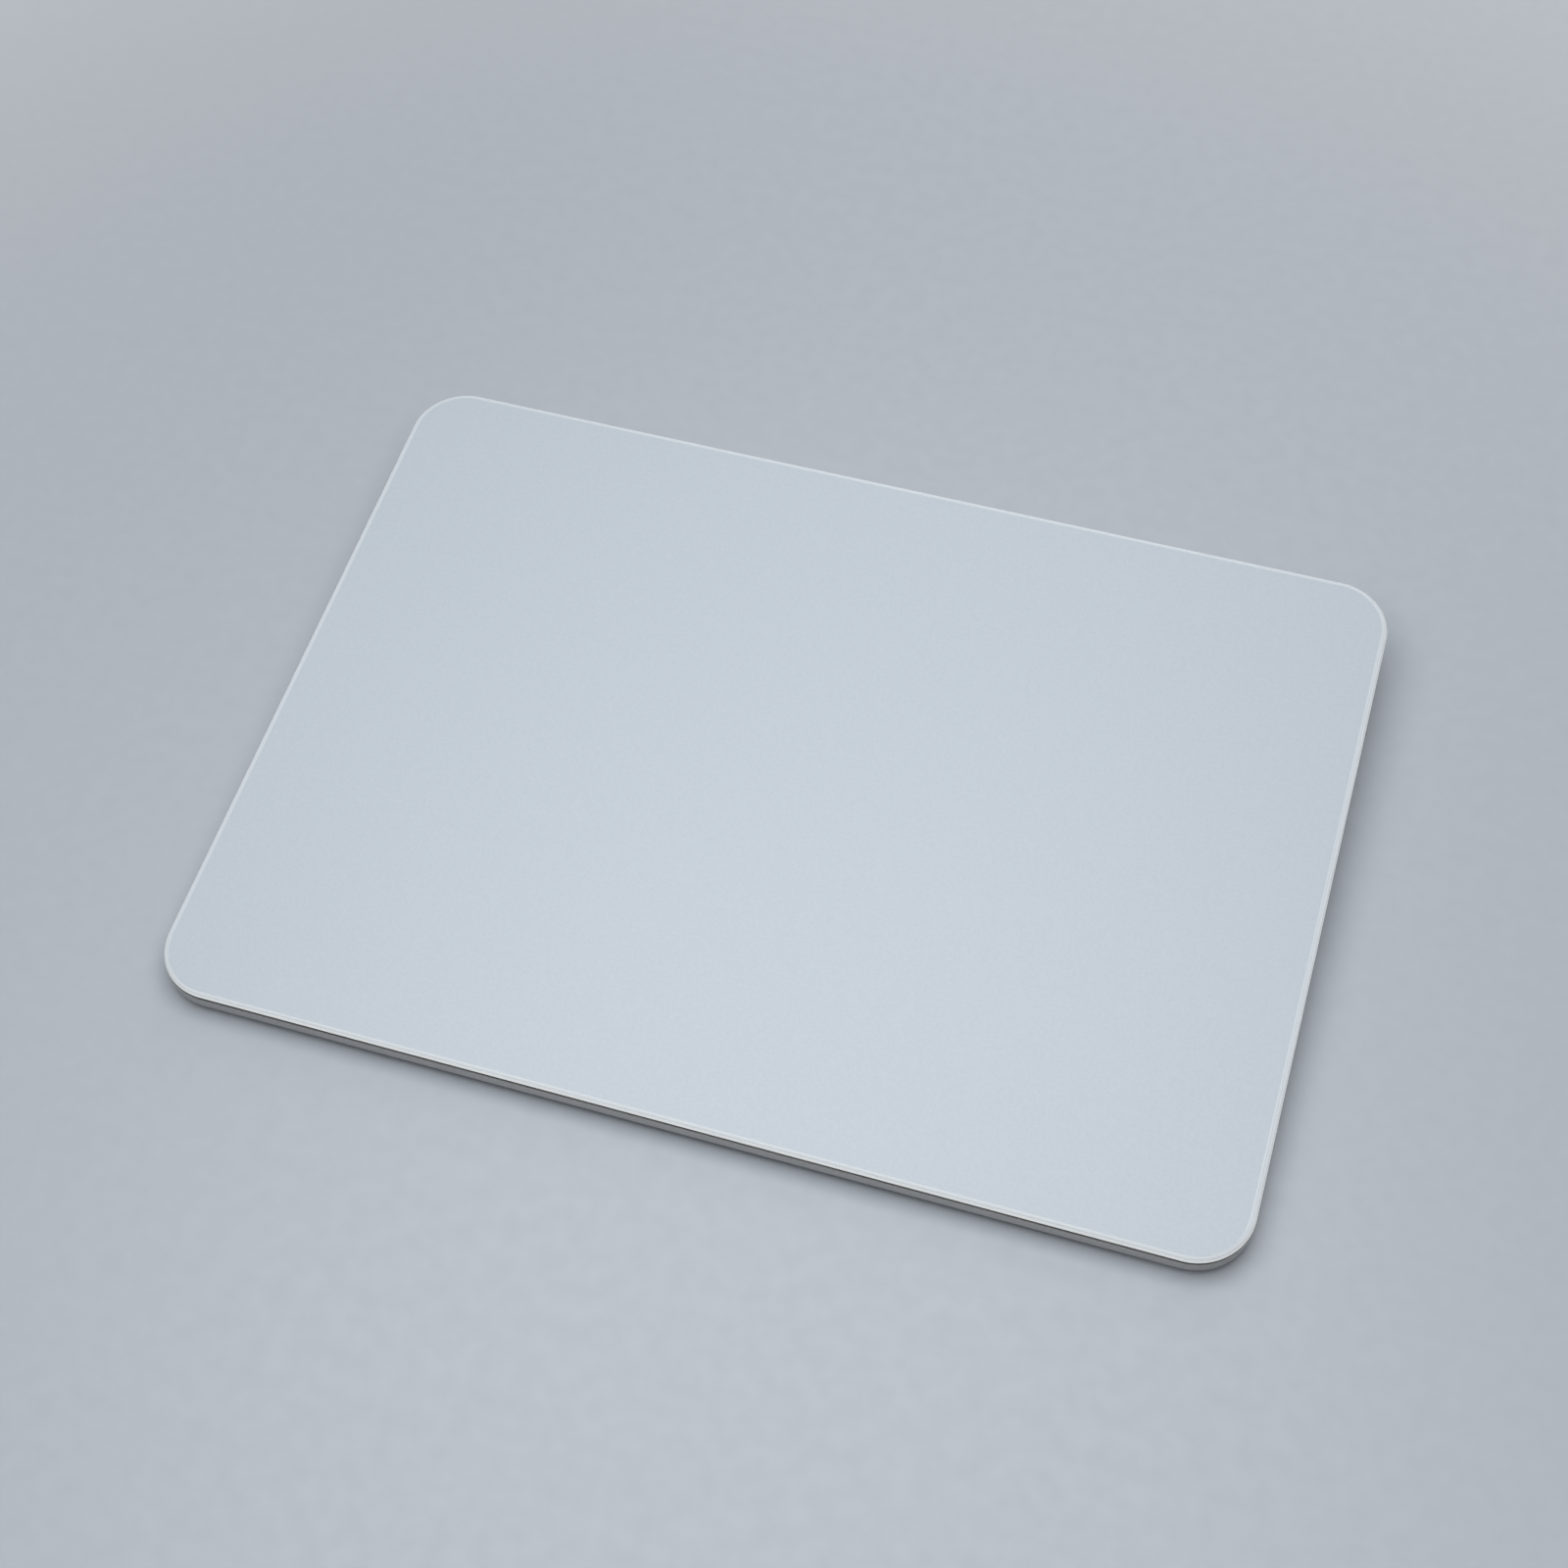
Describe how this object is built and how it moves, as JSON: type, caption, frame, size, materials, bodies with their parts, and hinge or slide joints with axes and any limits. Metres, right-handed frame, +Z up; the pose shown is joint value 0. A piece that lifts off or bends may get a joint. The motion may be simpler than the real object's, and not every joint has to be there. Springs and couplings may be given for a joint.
{
  "type": "desk trackpad",
  "caption": "Low wedge-shaped wireless trackpad: a sprung white glass touch plate with force sensing and a haptic drive, over a slim aluminium frame with a bonded base.",
  "frame": {"origin": "on the desk, under the middle of the pad, at the level of the rubber feet", "axes": "+X to the user's right, +Y from the user towards the high back edge, +Z up"},
  "size_m": [0.16, 0.115, 0.0109],
  "materials": {
    "etched_glass": "satin etched, white ink behind",
    "adhesive_film": "clear adhesive film",
    "circuit_board": "green solder mask",
    "stiffener_steel": "rolled",
    "chip_resin": "moulded",
    "core_iron": "stamped laminations",
    "isolator_rubber": "soft gel rubber",
    "case_aluminium": "bead-blasted and anodised",
    "cover_plastic": "fine matt",
    "gasket_foam": "foam adhesive",
    "foot_rubber": "moulded",
    "spring_steel": "rolled spring strip",
    "flex_film": "copper under amber film",
    "screw_steel": "machined",
    "coil_copper": "enamelled wire",
    "cell_pouch": "laminated foil pouch",
    "tab_nickel": "rolled strip",
    "shield_steel": "tinned sheet",
    "connector_plastic": "moulded",
    "socket_steel": "drawn sheet",
    "socket_resin": "moulded",
    "switch_plastic": "moulded",
    "indicator_green": "printed film"
  },
  "bodies": {
    "case": {"case_frame": "case_aluminium", "bottom_cover": "cover_plastic", "cover_gasket": "gasket_foam", "foot_front_left": "foot_rubber", "foot_front_right": "foot_rubber", "foot_rear_left": "foot_rubber", "foot_rear_right": "foot_rubber", "flexure_front_left": "spring_steel", "flexure_front_right": "spring_steel", "flexure_rear_left": "spring_steel", "flexure_rear_right": "spring_steel", "strain_gauges": "flex_film", "flexure_screws": "screw_steel", "actuator_bracket": "stiffener_steel", "core_left": "core_iron", "core_right": "core_iron", "coil_left": "coil_copper", "coil_right": "coil_copper", "actuator_screws": "screw_steel", "actuator_lead": "flex_film", "battery_cell_left": "cell_pouch", "battery_cell_right": "cell_pouch", "battery_tape": "adhesive_film", "battery_board": "circuit_board", "battery_tabs": "tab_nickel", "battery_lead": "flex_film", "logic_board": "circuit_board", "main_shield": "shield_steel", "radio_shield": "shield_steel", "board_chips": "chip_resin", "board_plugs": "connector_plastic", "board_screws": "screw_steel", "antenna": "connector_plastic", "ribbon_connector": "connector_plastic", "sensor_ribbon": "flex_film", "socket_shell": "socket_steel", "socket_tongue": "socket_resin", "switch_body": "chip_resin"},
    "suspension": {"isolator_pads": "isolator_rubber"},
    "touch_module": {"touch_glass": "etched_glass", "glass_film": "adhesive_film", "sensor_board": "circuit_board", "stiffener_plate": "stiffener_steel", "touch_controllers": "chip_resin", "attraction_bar": "core_iron"},
    "power_slider": {"switch_knob": "switch_plastic", "switch_indicator": "indicator_green"}
  },
  "joints": [
    {"name": "surface_press", "type": "slide", "parent": "case", "child": "suspension", "axis": [0, -0.0521, 0.9986], "range_m": [-0.00015, 0], "stiffness_N_per_m": 20000, "springref_m": 0.00008, "deforming": ["flexure_front_left", "flexure_front_right", "flexure_rear_left", "flexure_rear_right", "strain_gauges", "sensor_ribbon"]},
    {"name": "haptic_shake", "type": "slide", "parent": "suspension", "child": "touch_module", "axis": [1, 0, 0], "range_m": [-0.00005, 0.00005], "stiffness_N_per_m": 20000, "deforming": ["sensor_ribbon"]},
    {"name": "power_switch_slide", "type": "slide", "parent": "case", "child": "power_slider", "axis": [1, 0, 0], "range_m": [0, 0.002]}
  ]
}
